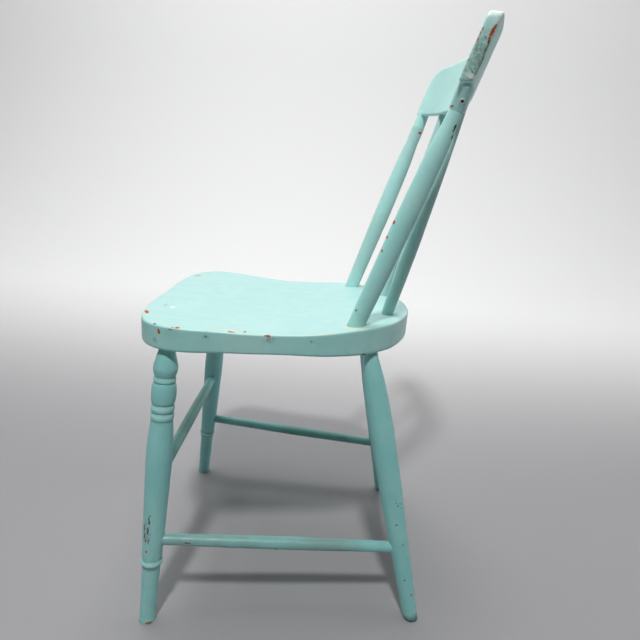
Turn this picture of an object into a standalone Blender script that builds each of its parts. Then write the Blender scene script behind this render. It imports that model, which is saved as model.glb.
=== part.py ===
"""A painted plank-bottom kitchen chair.

A dished plank seat stands on four splayed turned legs, which four round stretchers brace.
Two stout back posts and two spindles carry a bent crest rail, nailed to the posts from its sides.
Metres, +Z up. The sitter faces -Y, so +X is the sitter's left. The floor is Z = 0.
"""

from math import cos, pi, radians, sin, tan

import bmesh
import bpy
from mathutils import Matrix, Vector

# The gap that fitted pieces keep to each other
FIT = 0.0003

# Seat plank: its rim, its outline and how it is dished
SEAT_TOP = 0.436
SEAT_THICKNESS = 0.0375
SEAT_FRONT = 0.2140
SEAT_BACK = 0.1520
SEAT_HALF_FRONT = 0.181
SEAT_HALF_WAIST = 0.165
SEAT_HALF_BACK = 0.158
SEAT_WAIST_Y = -0.030
SEAT_BACK_ARC_Y = 0.020
SEAT_CORNER = 0.056
SEAT_BOW = 0.007
SEAT_FRONT_DROP = 0.006
SEAT_UPPER_ROUND = 0.006
SEAT_LOWER_ROUND = 0.005
DISH_SIDE = 0.008
DISH_MIDDLE = 0.013
DISH_CENTRE_Y = -0.030
DISH_REACH = 0.145
OUTLINE_STEPS = 3
SEAT_RINGS = (0.90, 0.85, 0.78, 0.66, 0.45)
SEAT_BOTTOM = SEAT_TOP - SEAT_THICKNESS

# Legs: where each foot stands and where each neck meets the seat's underside
LEG_FEET = {
    "leg_front_left": (0.186, -0.188),
    "leg_front_right": (-0.186, -0.193),
    "leg_back_left": (0.150, 0.189),
    "leg_back_right": (-0.168, 0.180),
}
LEG_NECKS = {
    "leg_front_left": (0.160, -0.165),
    "leg_front_right": (-0.160, -0.162),
    "leg_back_left": (0.116, 0.089),
    "leg_back_right": (-0.116, 0.102),
}
LEG_TENON_RADIUS = 0.0090
LEG_TENON = 0.013
LEG_NECK_STRAIGHT = 0.004
LEG_MAX_RADIUS = 0.0167
FOOT_RADIUS = 0.0120
FOOT_LENGTH = 0.006
ANKLE_RADIUS = 0.0107
BACK_FOOT_RADIUS = 0.0110
BACK_MAX_RADIUS = 0.0171
LOW_RING_HEIGHT = 0.0855
LOW_RING_LENGTH = 0.010
LOW_RING_RADIUS = 0.0144
TURNING_STEPS = 16

# Front leg turnings, measured down from the seat's underside
CAP_BULB_DROP = 0.009
CAP_BULB_LENGTH = 0.031
CAP_BULB_RADIUS = 0.0154
UPPER_RING_LENGTH = 0.0095
UPPER_RING_RADIUS = 0.0138
BULB_LENGTH = 0.028
BULB_RADIUS = 0.0157
LOWER_RING_LENGTH = 0.0117
LOWER_RING_RADIUS = 0.0149
GROOVE_RADIUS = 0.0131

# Stretchers: heights of their ends on the legs' axes, and their turning
SIDE_STRETCHER_FRONT_Z = 0.125
SIDE_STRETCHER_BACK_Z = 0.108
FRONT_STRETCHER_Z = 0.223
BACK_STRETCHER_Z = 0.205
STRETCHER_END_RADIUS = 0.0068
STRETCHER_RADIUS = 0.0077
STRETCHER_SOCKET = 0.0110
STRETCHER_STEPS = 14

# Back posts and spindles: their feet on the seat and their tops under the crest rail
POST_FEET = {"left": (0.122, 0.073), "right": (-0.122, 0.073)}
POST_TOP_X = 0.1245
POST_TOP_Y = 0.157
POST_TOP_Z = 0.701
POST_FOOT_RADIUS = 0.0109
POST_RADIUS = 0.0126
POST_NECK_RADIUS = 0.0088
POST_SOCKET = 0.014
POST_TENON_RADIUS = 0.0062
POST_TENON = 0.018
UPRIGHT_STRAIGHT = 0.007
POST_SHOULDER_GAP = 0.0008
SPINDLE_SEAT = (0.060, 0.115)
SPINDLE_TOP_X = 0.065
SPINDLE_FOOT_RADIUS = 0.0080
SPINDLE_RADIUS = 0.0098
SPINDLE_TOP_RADIUS = 0.0068
SPINDLE_SOCKET = 0.014
SPINDLE_TENON = 0.016

# Crest rail: a bent plank that leans back like the posts, on a short round neck over each post.
# Heights go up the lean from the line where the necks meet the posts. The rail reaches further to
# the left than to the right, and its left upper corner is the sharper one.
CREST_LEAN = radians(17.5)
CREST_THICKNESS = 0.0155
CREST_HALF = 0.1435
CREST_SHIFT = 0.0065
CREST_LOW = 0.0255
CREST_TOP = 0.103
CREST_CROWN = 0.006
CREST_TILT = 0.0035
CREST_LEFT_CORNER = 0.010
CREST_RIGHT_CORNER = 0.018
CREST_EAR_CORNER = 0.012
CREST_EAR_RISE = 0.024
CREST_SAG = 0.027
CREST_ROUND = 0.0025
CREST_COLUMNS = 26
CREST_ROWS = 4
CREST_NECK_RADIUS = 0.0096
CREST_NECK_TOP_RADIUS = 0.0074
CREST_NECK_LENGTH = 0.032

# Nails through the crest's necks into the posts
NAIL_RADIUS = 0.0013
NAIL_HEAD_RADIUS = 0.0021
NAIL_HEAD = 0.0010
NAIL_LENGTH = 0.013
NAIL_HOLE_RADIUS = 0.0028
NAIL_HOLE_DEPTH = 0.0020
NAIL_HEIGHT = 0.0115

PAINT = (0.20, 0.55, 0.49, 1.0)
PAINT_FRESH = (0.24, 0.60, 0.53, 1.0)
RUST = (0.16, 0.06, 0.03, 1.0)


def clear_scene():
    for item in list(bpy.data.objects):
        bpy.data.objects.remove(item, do_unlink=True)


def new_collection(name):
    collection = bpy.data.collections.new(name)
    bpy.context.scene.collection.children.link(collection)
    return collection


def material(name, colour, roughness, metallic=0.0):
    made = bpy.data.materials.new(name)
    made.use_nodes = True
    shader = made.node_tree.nodes["Principled BSDF"]
    shader.inputs["Base Color"].default_value = colour
    shader.inputs["Roughness"].default_value = roughness
    shader.inputs["Metallic"].default_value = metallic
    made.diffuse_color = colour
    return made


class Chair:
    """The collections, the root empty and the materials that every piece uses."""

    def __init__(self):
        self.parts = new_collection("peeling_paint_chair")
        self.cutters = new_collection("cutters")
        self.root = bpy.data.objects.new("chair_root", None)
        self.parts.objects.link(self.root)
        self.paint = material("aqua_paint", PAINT, 0.45)
        self.seat_paint = material("aqua_seat_paint", PAINT_FRESH, 0.40)
        self.rust = material("rusty_steel", RUST, 0.7, 0.6)

    def add(self, name, mesh, finish):
        item = bpy.data.objects.new(name, mesh)
        self.parts.objects.link(item)
        item.parent = self.root
        mesh.materials.append(finish)
        return item

    def add_cutter(self, name, mesh):
        item = bpy.data.objects.new(name, mesh)
        self.cutters.objects.link(item)
        item.parent = self.root
        item.hide_render = True
        item.display_type = "WIRE"
        return item


def lay_along(item, start, end):
    """Puts an object's origin at start and turns its +Z towards end."""
    item.location = start
    item.rotation_mode = "QUATERNION"
    item.rotation_quaternion = (end - start).to_track_quat("Z", "Y")


def between(start, end, share):
    return start + (end - start) * share


def at_height(start, end, height):
    return between(start, end, (height - start.z) / (end.z - start.z))


def mesh_from(bm, name):
    mesh = bpy.data.meshes.new(name)
    bm.to_mesh(mesh)
    bm.free()
    return mesh


def rod_cutter(chair, name, start, end, radius, end_radius=None):
    """A round cutter from start to end, tapered where it has an end radius."""
    length = (end - start).length
    bm = bmesh.new()
    bmesh.ops.create_cone(bm, cap_ends=True, segments=TURNING_STEPS, radius1=radius,
                          radius2=end_radius or radius, depth=length,
                          matrix=Matrix.Translation((0.0, 0.0, length / 2)))
    item = chair.add_cutter(name, mesh_from(bm, name))
    lay_along(item, start, end)
    return item


def box_cutter(chair, name, low, high):
    """A block between two corners, in the chair's own axes."""
    size = high - low
    middle = (low + high) / 2
    bm = bmesh.new()
    matrix = Matrix.Translation(middle) @ Matrix.Diagonal((*size, 1.0))
    bmesh.ops.create_cube(bm, size=1.0, matrix=matrix)
    return chair.add_cutter(name, mesh_from(bm, name))


def cut(item, cutter, operation="DIFFERENCE"):
    modifier = item.modifiers.new(cutter.name, "BOOLEAN")
    modifier.operation = operation
    modifier.solver = "EXACT"
    modifier.object = cutter


def smooth_run(points, steps):
    """Points along a smooth curve through the given ones, without the last."""
    run = []
    for index in range(len(points) - 1):
        before = points[max(index - 1, 0)]
        start = points[index]
        end = points[index + 1]
        after = points[min(index + 2, len(points) - 1)]
        for step in range(steps):
            t = step / steps
            pair = []
            for a, b, c, d in zip(before, start, end, after):
                pull = (c - a) * t + (2 * a - 5 * b + 4 * c - d) * t * t + (3 * b - a - 3 * c + d) * t ** 3
                pair.append(b + pull / 2)
            run.append(tuple(pair))
    return run


def bead(radius, groove, top, length, steps=5):
    """A half-round ring of a turning, from its upper groove down to its lower one."""
    run = []
    for step in range(steps):
        angle = pi * step / steps
        run.append((groove + (radius - groove) * sin(angle), top - length * (1 - cos(angle)) / 2))
    return run


def turned(chair, name, profile, steps):
    """Spins a profile of radius and height pairs, listed top to bottom, into a solid."""
    bm = bmesh.new()
    verts = [bm.verts.new((radius, 0.0, height)) for radius, height in profile]
    for upper, lower in zip(verts, verts[1:]):
        bm.edges.new((upper, lower))
    item = chair.add(name, mesh_from(bm, name), chair.paint)
    screw = item.modifiers.new("turning", "SCREW")
    screw.axis = "Z"
    screw.angle = 2 * pi
    screw.steps = steps
    screw.render_steps = steps
    screw.use_merge_vertices = True
    screw.merge_threshold = 0.0001
    screw.use_smooth_shade = True
    return item


def front_leg_profile(neck):
    """Neck, cap bulb, ring, bulb, two rings, a long swelling shaft, a low ring and the foot."""
    tip = neck + LEG_TENON
    cap = neck - CAP_BULB_DROP
    ring = cap - CAP_BULB_LENGTH
    bulb = ring - UPPER_RING_LENGTH
    second = bulb - BULB_LENGTH
    third = second - LOWER_RING_LENGTH
    shaft = third - LOWER_RING_LENGTH
    low_top = LOW_RING_HEIGHT + LOW_RING_LENGTH
    profile = [(0.0, tip), (LEG_TENON_RADIUS, tip)]
    profile += smooth_run([(LEG_TENON_RADIUS, neck - LEG_NECK_STRAIGHT), (LEG_TENON_RADIUS * 1.28, cap),
                           (CAP_BULB_RADIUS, cap - CAP_BULB_LENGTH * 0.65), (GROOVE_RADIUS, ring)], 3)
    profile += bead(UPPER_RING_RADIUS, GROOVE_RADIUS, ring, UPPER_RING_LENGTH, 4)
    profile += bead(BULB_RADIUS, GROOVE_RADIUS, bulb, BULB_LENGTH, 6)
    profile += bead(LOWER_RING_RADIUS, GROOVE_RADIUS, second, LOWER_RING_LENGTH, 4)
    profile += bead(LOWER_RING_RADIUS, GROOVE_RADIUS, third, LOWER_RING_LENGTH, 4)
    profile += smooth_run([(GROOVE_RADIUS, shaft), (LEG_MAX_RADIUS, between(shaft, low_top, 0.22)),
                           (LEG_MAX_RADIUS * 0.945, between(shaft, low_top, 0.50)),
                           (LEG_MAX_RADIUS * 0.865, between(shaft, low_top, 0.80)),
                           (LEG_MAX_RADIUS * 0.79, low_top)], 3)
    profile += bead(LOW_RING_RADIUS, ANKLE_RADIUS * 1.16, low_top, LOW_RING_LENGTH, 4)
    profile += [(ANKLE_RADIUS * 1.14, LOW_RING_HEIGHT), (ANKLE_RADIUS, FOOT_LENGTH * 2)]
    profile += [(FOOT_RADIUS, FOOT_LENGTH), (FOOT_RADIUS, -FOOT_LENGTH), (0.0, -FOOT_LENGTH)]
    return profile


def back_leg_profile(neck):
    """A plain vase: a neck, a long swelling and a taper to the foot."""
    tip = neck + LEG_TENON
    profile = [(0.0, tip), (LEG_TENON_RADIUS, tip)]
    profile += smooth_run([(LEG_TENON_RADIUS, neck - LEG_NECK_STRAIGHT), (BACK_MAX_RADIUS * 0.82, neck * 0.90),
                           (BACK_MAX_RADIUS * 0.955, neck * 0.80), (BACK_MAX_RADIUS, neck * 0.68),
                           (BACK_MAX_RADIUS * 0.93, neck * 0.50), (BACK_MAX_RADIUS * 0.79, neck * 0.29),
                           (BACK_FOOT_RADIUS, neck * 0.03)], 3)
    profile += [(BACK_FOOT_RADIUS, neck * 0.03), (BACK_FOOT_RADIUS, -FOOT_LENGTH), (0.0, -FOOT_LENGTH)]
    return profile


def post_profile(length):
    """A back post, stoutest at its middle, with a narrower top and a shoulder under the crest rail."""
    shoulder = length - POST_SHOULDER_GAP
    tip = length + POST_TENON
    profile = [(0.0, tip), (POST_TENON_RADIUS, tip), (POST_TENON_RADIUS, shoulder)]
    profile += smooth_run([(POST_NECK_RADIUS, shoulder), (POST_NECK_RADIUS * 1.06, length * 0.92),
                           (POST_RADIUS * 0.90, length * 0.81), (POST_RADIUS * 0.98, length * 0.66),
                           (POST_RADIUS, length * 0.48), (POST_FOOT_RADIUS * 1.06, length * 0.15),
                           (POST_FOOT_RADIUS, UPRIGHT_STRAIGHT)], 2)
    profile += [(POST_FOOT_RADIUS, UPRIGHT_STRAIGHT), (POST_FOOT_RADIUS, -POST_SOCKET), (0.0, -POST_SOCKET)]
    return profile


def spindle_profile(length):
    """A thin spindle, swelling below its middle."""
    tip = length + SPINDLE_TENON
    profile = [(0.0, tip), (SPINDLE_TOP_RADIUS, tip)]
    profile += smooth_run([(SPINDLE_TOP_RADIUS, length * 0.985), (SPINDLE_RADIUS * 0.90, length * 0.72),
                           (SPINDLE_RADIUS, length * 0.36), (SPINDLE_RADIUS * 0.90, length * 0.12),
                           (SPINDLE_FOOT_RADIUS, UPRIGHT_STRAIGHT)], 3)
    profile += [(SPINDLE_FOOT_RADIUS, UPRIGHT_STRAIGHT), (SPINDLE_FOOT_RADIUS, -SPINDLE_SOCKET)]
    profile.append((0.0, -SPINDLE_SOCKET))
    return profile


def stretcher_profile(length):
    """A plain rod, a little stouter in its middle."""
    profile = [(0.0, length)]
    profile += smooth_run([(STRETCHER_END_RADIUS, length), (STRETCHER_END_RADIUS, length * 0.90),
                           (STRETCHER_RADIUS, length * 0.5), (STRETCHER_END_RADIUS, length * 0.10),
                           (STRETCHER_END_RADIUS, 0.0)], 2)
    profile += [(STRETCHER_END_RADIUS, 0.0), (0.0, 0.0)]
    return profile


def seat_outline():
    """Key points of the plank's outline, around from the middle of the front edge."""
    side = [(SEAT_HALF_FRONT - SEAT_CORNER * 1.25, -SEAT_FRONT + SEAT_BOW * 0.4)]
    centre = (SEAT_HALF_FRONT - SEAT_CORNER, -SEAT_FRONT + SEAT_BOW + SEAT_CORNER)
    for angle in (radians(-72), radians(-42), radians(-12)):
        side.append((centre[0] + SEAT_CORNER * cos(angle), centre[1] + SEAT_CORNER * sin(angle)))
    side.append((between(SEAT_HALF_FRONT, SEAT_HALF_WAIST, 0.45), between(centre[1], SEAT_WAIST_Y, 0.5)))
    side.append((SEAT_HALF_WAIST, SEAT_WAIST_Y))
    depth = SEAT_BACK - SEAT_BACK_ARC_Y
    for angle in (radians(10), radians(35), radians(62)):
        side.append((SEAT_HALF_BACK * cos(angle), SEAT_BACK_ARC_Y + depth * sin(angle)))
    other = [(-x, y) for x, y in reversed(side)]
    return [(0.0, -SEAT_FRONT)] + side + [(0.0, SEAT_BACK)] + other


def outline_edges(name, points, steps):
    """The edges of a closed smooth curve through the points, as a mesh."""
    curve = bpy.data.curves.new(name, "CURVE")
    curve.dimensions = "2D"
    curve.fill_mode = "NONE"
    curve.resolution_u = steps
    spline = curve.splines.new("BEZIER")
    spline.bezier_points.add(len(points) - 1)
    spline.use_cyclic_u = True
    for knot, (x, y) in zip(spline.bezier_points, points):
        knot.co = (x, y, 0.0)
        knot.handle_left_type = "AUTO"
        knot.handle_right_type = "AUTO"
    holder = bpy.data.objects.new(name, curve)
    bpy.context.scene.collection.objects.link(holder)
    mesh = bpy.data.meshes.new_from_object(holder.evaluated_get(bpy.context.evaluated_depsgraph_get()))
    bpy.data.objects.remove(holder, do_unlink=True)
    return mesh


def dish(x, y):
    """How far the saddled top lies below its highest line, the back rim."""
    away = min(abs(y - DISH_CENTRE_Y) / DISH_REACH, 1.0)
    across = 1.0 - min(abs(x) / SEAT_HALF_WAIST, 1.0) ** 2
    hollow = (DISH_SIDE + (DISH_MIDDLE - DISH_SIDE) * across) * cos(away * pi / 2) ** 2
    forward = min(max((POST_FEET["left"][1] - y) / SEAT_FRONT, 0.0), 1.0)
    return hollow + SEAT_FRONT_DROP * forward


def seat_mesh():
    """The outline, filled and pulled down to the plank's thickness, with rounded rims and a dished top."""
    bm = bmesh.new()
    bm.from_mesh(outline_edges("seat_outline", seat_outline(), OUTLINE_STEPS))
    bmesh.ops.remove_doubles(bm, verts=bm.verts, dist=0.0001)
    bmesh.ops.contextual_create(bm, geom=bm.edges)
    bmesh.ops.translate(bm, verts=bm.verts, vec=(0.0, 0.0, SEAT_BOTTOM))
    pulled = bmesh.ops.extrude_face_region(bm, geom=bm.faces)
    raised = [v for v in pulled["geom"] if isinstance(v, bmesh.types.BMVert)]
    bmesh.ops.translate(bm, verts=raised, vec=(0.0, 0.0, SEAT_THICKNESS))
    bmesh.ops.recalc_face_normals(bm, faces=bm.faces)
    for height, width in ((SEAT_TOP, SEAT_UPPER_ROUND), (SEAT_BOTTOM, SEAT_LOWER_ROUND)):
        rim = [e for e in bm.edges if all(abs(v.co.z - height) < FIT for v in e.verts)]
        bmesh.ops.bevel(bm, geom=rim, offset=width, segments=3, profile=0.5, affect="EDGES", material=-1)
    top = max(bm.faces, key=lambda face: face.calc_center_median().z)
    centre = Vector((0.0, DISH_CENTRE_Y, SEAT_TOP))
    for shrink in SEAT_RINGS:
        bmesh.ops.inset_region(bm, faces=[top], thickness=SEAT_UPPER_ROUND / 4)
        for vert in top.verts:
            vert.co = between(centre, vert.co, shrink)
    bmesh.ops.poke(bm, faces=[top])
    for vert in bm.verts:
        share = (vert.co.z - SEAT_BOTTOM) / SEAT_THICKNESS
        vert.co.z -= dish(vert.co.x, vert.co.y) * share
    mesh = mesh_from(bm, "seat")
    mesh.shade_smooth()
    mesh.set_sharp_from_angle(angle=radians(50))
    return mesh


def crest_bend(x):
    """How far the bent rail's middle line lies behind its line at the posts."""
    return CREST_SAG * (POST_TOP_X ** 2 - x ** 2) / CREST_HALF ** 2


def rounded(along, half, corner):
    """How much of a corner is gone at a distance along the rail: 0 before it, 1 at the rail's end."""
    past = max(along - (half - corner), 0.0) / corner
    return 1 - max(1 - past ** 2, 0.0) ** 0.5


def crest_top(along):
    """Height of the crowned top, a little higher on the left and rounded down at the rail's ends."""
    corner = CREST_LEFT_CORNER if along > 0 else CREST_RIGHT_CORNER
    share = along / CREST_HALF
    crowned = CREST_TOP + CREST_TILT * share - CREST_CROWN * share ** 2
    return crowned - corner * rounded(abs(along), CREST_HALF, corner)


def crest_low(along):
    """Height of the lower edge, rounded up at the ears."""
    return CREST_LOW + CREST_EAR_RISE * rounded(abs(along), CREST_HALF, CREST_EAR_CORNER)


def crest_mesh():
    """A bar cut into columns and rows, shaped by the outline and bent in plan. Y is its thickness.

    Its top and its lower edge are sawn level, so they rise from front to back across the lean.
    """
    bm = bmesh.new()
    bmesh.ops.create_cube(bm, size=2.0)
    for axis, cuts in ((0, CREST_COLUMNS - 1), (1, CREST_ROWS - 1)):
        edges = [e for e in bm.edges if abs(e.verts[0].co[axis] - e.verts[1].co[axis]) > 1.0]
        bmesh.ops.subdivide_edges(bm, edges=edges, cuts=cuts, use_grid_fill=True)
    half_thickness = CREST_THICKNESS / 2
    for vert in bm.verts:
        along = CREST_HALF * sin(vert.co.x * pi / 2)
        across = half_thickness * sin(vert.co.y * pi / 2)
        eased = CREST_ROUND * rounded(abs(across), half_thickness, CREST_ROUND)
        low = crest_low(along) + eased
        high = crest_top(along) - eased
        z = between(low, high, (vert.co.z + 1) / 2) + across * tan(CREST_LEAN)
        across *= 1 - CREST_ROUND / half_thickness * rounded(abs(along), CREST_HALF, CREST_ROUND)
        x = along + CREST_SHIFT
        vert.co = Vector((x, across + crest_bend(x), z))
    mesh = mesh_from(bm, "crest_rail")
    mesh.shade_smooth()
    mesh.set_sharp_from_angle(angle=radians(40))
    return mesh


def add_seat(chair):
    seat = chair.add("seat", seat_mesh(), chair.seat_paint)
    return seat


def add_legs(chair, seat):
    """Turns each leg, cuts its foot level with the floor and bores its socket in the seat."""
    floor = box_cutter(chair, "floor_cutter", Vector((-0.4, -0.4, -0.05)), Vector((0.4, 0.4, 0.0)))
    axes = {}
    legs = {}
    for name, (foot_x, foot_y) in LEG_FEET.items():
        foot = Vector((foot_x, foot_y, 0.0))
        neck = Vector((*LEG_NECKS[name], SEAT_BOTTOM))
        reach = (neck - foot).length
        profile = front_leg_profile(reach) if "front" in name else back_leg_profile(reach)
        leg = turned(chair, name, profile, TURNING_STEPS)
        lay_along(leg, foot, neck)
        cut(leg, floor)
        along = (neck - foot).normalized()
        below = neck - along * LEG_TENON
        above = neck + along * (LEG_TENON + FIT)
        cut(seat, rod_cutter(chair, name + "_socket", below, above, LEG_TENON_RADIUS + FIT))
        axes[name] = (foot, neck)
        legs[name] = leg
    return legs, axes


def add_stretcher(chair, name, legs, axes, first, second, first_z, second_z):
    """A rod between two legs, let into both by the same depth."""
    start_axis = at_height(*axes[first], first_z)
    end_axis = at_height(*axes[second], second_z)
    along = (end_axis - start_axis).normalized()
    inset = LEG_MAX_RADIUS - STRETCHER_SOCKET
    start = start_axis + along * inset
    end = end_axis - along * inset
    rod = turned(chair, name, stretcher_profile((end - start).length), STRETCHER_STEPS)
    lay_along(rod, start, end)
    radius = STRETCHER_END_RADIUS + FIT
    for leg, tip, inward in ((first, start, along), (second, end, -along)):
        bottom = tip - inward * FIT
        mouth = tip + inward * LEG_MAX_RADIUS * 2
        cut(legs[leg], rod_cutter(chair, name + "_in_" + leg, bottom, mouth, radius))
    return rod


def add_stretchers(chair, legs, axes):
    for side in ("left", "right"):
        add_stretcher(chair, "stretcher_" + side, legs, axes, "leg_front_" + side, "leg_back_" + side,
                      SIDE_STRETCHER_FRONT_Z, SIDE_STRETCHER_BACK_Z)
    add_stretcher(chair, "stretcher_front", legs, axes, "leg_front_left", "leg_front_right",
                  FRONT_STRETCHER_Z, FRONT_STRETCHER_Z)
    add_stretcher(chair, "stretcher_back", legs, axes, "leg_back_left", "leg_back_right",
                  BACK_STRETCHER_Z, BACK_STRETCHER_Z)


def crest_point(x, height):
    """A point in the middle of the rail's thickness, at a height up its lean."""
    bend = crest_bend(x)
    y = POST_TOP_Y + bend * cos(CREST_LEAN) + height * sin(CREST_LEAN)
    return Vector((x, y, POST_TOP_Z + height * cos(CREST_LEAN) - bend * sin(CREST_LEAN)))


def seat_point(x, y):
    """A point on the seat's dished top."""
    return Vector((x, y, SEAT_TOP - dish(x, y)))


def add_crest(chair):
    """The bent rail, leaning like the posts, with a round neck over each post."""
    crest = chair.add("crest_rail", crest_mesh(), chair.paint)
    crest.location = (0.0, POST_TOP_Y, POST_TOP_Z)
    crest.rotation_euler = (-CREST_LEAN, 0.0, 0.0)
    for side, sign in (("left", 1), ("right", -1)):
        start = crest_point(sign * POST_TOP_X, 0.0)
        end = crest_point(sign * POST_TOP_X, CREST_NECK_LENGTH)
        neck = rod_cutter(chair, "neck_" + side, start, end, CREST_NECK_RADIUS, CREST_NECK_TOP_RADIUS)
        cut(crest, neck, "UNION")
    return crest


def add_upright(chair, seat, crest, name, foot, top, profile, radii, depths):
    """A post or spindle between the seat and the crest rail, bored into both."""
    item = turned(chair, name, profile, STRETCHER_STEPS)
    lay_along(item, foot, top)
    along = (top - foot).normalized()
    foot_radius, top_radius = radii
    foot_depth, top_depth = depths
    bottom = foot - along * (foot_depth + FIT)
    cut(seat, rod_cutter(chair, name + "_seat_socket", bottom, foot + along * foot_depth, foot_radius + FIT))
    tip = top + along * (top_depth + FIT)
    cut(crest, rod_cutter(chair, name + "_crest_socket", top - along * top_depth, tip, top_radius + FIT))
    return item


def add_back(chair, seat, crest):
    """Two posts and two spindles, and where each post meets the rail."""
    posts = {}
    for side, sign in (("left", 1), ("right", -1)):
        foot = seat_point(*POST_FEET[side])
        top = crest_point(sign * POST_TOP_X, 0.0)
        length = (top - foot).length
        posts[side] = add_upright(chair, seat, crest, "post_" + side, foot, top, post_profile(length),
                                  (POST_FOOT_RADIUS, POST_TENON_RADIUS), (POST_SOCKET, POST_TENON))
        foot = seat_point(sign * SPINDLE_SEAT[0], SPINDLE_SEAT[1])
        top = crest_point(sign * SPINDLE_TOP_X, CREST_LOW)
        length = (top - foot).length
        add_upright(chair, seat, crest, "spindle_" + side, foot, top, spindle_profile(length),
                    (SPINDLE_FOOT_RADIUS, SPINDLE_TOP_RADIUS), (SPINDLE_SOCKET, SPINDLE_TENON))
    return posts


def nail_profile():
    """A flat-headed nail with its head at the top and a blunt tip."""
    return [(0.0, 0.0), (NAIL_HEAD_RADIUS, 0.0), (NAIL_HEAD_RADIUS, -NAIL_HEAD), (NAIL_RADIUS, -NAIL_HEAD),
            (NAIL_RADIUS, -NAIL_LENGTH), (0.0, -NAIL_LENGTH)]


def add_nails(chair, crest, posts):
    """A nail on each side, sunk in a small hole in the crest's neck."""
    for side, sign in (("left", 1), ("right", -1)):
        outward = Vector((sign, 0.0, 0.0))
        share = NAIL_HEIGHT / CREST_NECK_LENGTH
        neck_radius = between(CREST_NECK_RADIUS, CREST_NECK_TOP_RADIUS, share)
        surface = crest_point(sign * POST_TOP_X, NAIL_HEIGHT) + outward * neck_radius
        head = surface - outward * (NAIL_HOLE_DEPTH - NAIL_HEAD)
        name = "nail_" + side
        nail = turned(chair, name, nail_profile(), STRETCHER_STEPS)
        nail.data.materials[0] = chair.rust
        lay_along(nail, head, head + outward)
        floor = surface - outward * NAIL_HOLE_DEPTH
        outside = surface + outward * CREST_THICKNESS
        tip = head - outward * (NAIL_LENGTH + FIT)
        cut(crest, rod_cutter(chair, name + "_sink", floor - outward * FIT, outside, NAIL_HOLE_RADIUS))
        bore = rod_cutter(chair, name + "_bore", tip, outside, NAIL_RADIUS + FIT)
        cut(crest, bore)
        cut(posts[side], bore)


def stand_centred(chair):
    """Moves the root so that the chair's box is centred over the origin."""
    graph = bpy.context.evaluated_depsgraph_get()
    lows = []
    highs = []
    for item in chair.parts.objects:
        if item.type != "MESH":
            continue
        shape = item.evaluated_get(graph)
        vertices = [shape.matrix_world @ vert.co for vert in shape.data.vertices]
        lows.append(Vector([min(v[axis] for v in vertices) for axis in range(3)]))
        highs.append(Vector([max(v[axis] for v in vertices) for axis in range(3)]))
    low = [min(point[axis] for point in lows) for axis in range(3)]
    high = [max(point[axis] for point in highs) for axis in range(3)]
    chair.root.location = (-(low[0] + high[0]) / 2, -(low[1] + high[1]) / 2, 0.0)


def build():
    clear_scene()
    chair = Chair()
    seat = add_seat(chair)
    legs, axes = add_legs(chair, seat)
    add_stretchers(chair, legs, axes)
    crest = add_crest(chair)
    posts = add_back(chair, seat, crest)
    add_nails(chair, crest, posts)
    stand_centred(chair)


build()
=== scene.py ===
"""The painted kitchen chair, dressed: fine turnings, a worn plank seat and chipped aqua paint.

Every place is in metres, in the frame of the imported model: +X is the sitter's left, -Y the front.
"""

from math import cos, exp, pi, radians, sin, tan

import bmesh
import bpy
from mathutils import Matrix, Quaternion, Vector, noise


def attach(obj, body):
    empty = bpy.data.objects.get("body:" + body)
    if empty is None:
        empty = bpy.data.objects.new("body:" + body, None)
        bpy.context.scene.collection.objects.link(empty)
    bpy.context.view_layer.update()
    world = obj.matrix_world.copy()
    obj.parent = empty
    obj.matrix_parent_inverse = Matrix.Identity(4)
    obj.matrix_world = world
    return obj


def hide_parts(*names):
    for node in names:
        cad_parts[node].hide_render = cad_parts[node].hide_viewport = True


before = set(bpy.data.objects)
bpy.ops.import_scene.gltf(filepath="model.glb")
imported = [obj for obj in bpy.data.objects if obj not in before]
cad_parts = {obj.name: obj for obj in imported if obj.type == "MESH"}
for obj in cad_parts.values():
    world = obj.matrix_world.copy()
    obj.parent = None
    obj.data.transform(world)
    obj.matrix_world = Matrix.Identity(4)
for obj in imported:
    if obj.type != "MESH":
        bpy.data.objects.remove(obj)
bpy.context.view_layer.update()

# Camera: where it stands, where it looks and how long its lens is
CAMERA_AT = Vector((0.7507, 0.0092, 0.6157))
CAMERA_YAW = 0.01429
CAMERA_PITCH = 0.27779
CAMERA_ROLL = 0.08231
CAMERA_LENS = 28.38
CAMERA_SENSOR = 36.0
CAMERA_SHIFT = 0.0023

# Seat plank
SEAT_TOP = 0.436
SEAT_THICKNESS = 0.0375
SEAT_BOTTOM = SEAT_TOP - SEAT_THICKNESS
SEAT_FRONT = 0.2140
SEAT_BACK = 0.1520
SEAT_HALF_FRONT = 0.181
SEAT_HALF_WAIST = 0.165
SEAT_HALF_BACK = 0.158
SEAT_WAIST_Y = -0.030
SEAT_BACK_ARC_Y = 0.020
SEAT_CORNER = 0.056
SEAT_BOW = 0.007
SEAT_FRONT_DROP = 0.006
SEAT_UPPER_ROUND = 0.0028
SEAT_LOWER_ROUND = 0.005
DISH_SIDE = 0.008
DISH_MIDDLE = 0.013
DISH_CENTRE_Y = -0.030
DISH_REACH = 0.145

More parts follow.
